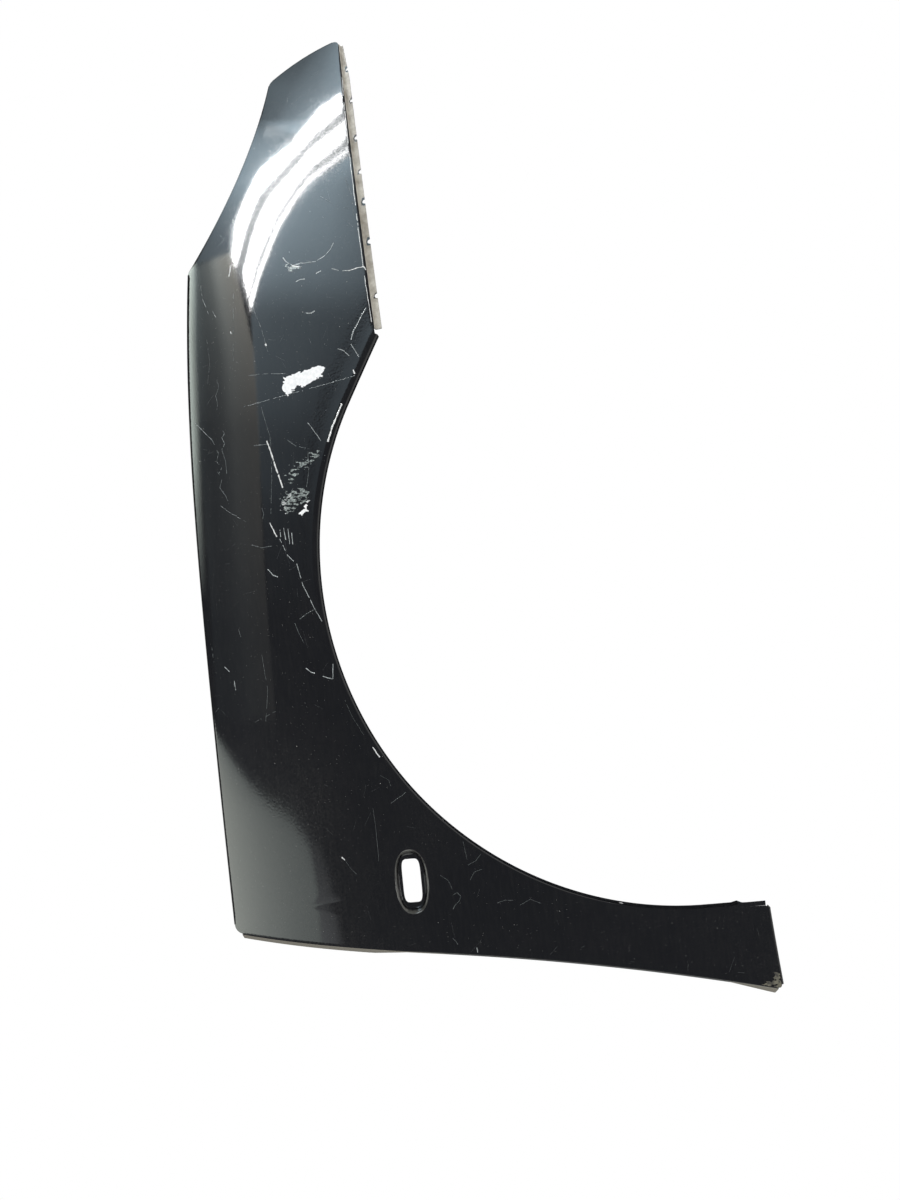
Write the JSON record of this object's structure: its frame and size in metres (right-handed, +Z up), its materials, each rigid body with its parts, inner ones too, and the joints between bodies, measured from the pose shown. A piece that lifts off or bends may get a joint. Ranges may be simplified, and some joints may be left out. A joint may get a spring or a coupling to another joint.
{
  "type": "front fender",
  "caption": "Right-hand front fender of a compact car, pressed from one steel sheet, with wheel arch, folded bolt flanges and a side repeater recess.",
  "frame": {"origin": "on the underside of the middle bolt land of the bonnet flange, beside its slot", "axes": "+X towards the nose of the car, +Z up, +Y in towards the engine bay, so the painted face looks along -Y"},
  "size_m": [1.0572, 0.2819, 0.5385],
  "materials": {
    "black_paint": "gloss, scratched and dusty"
  },
  "bodies": {
    "root": {"fender_panel": "black_paint"}
  },
  "joints": []
}
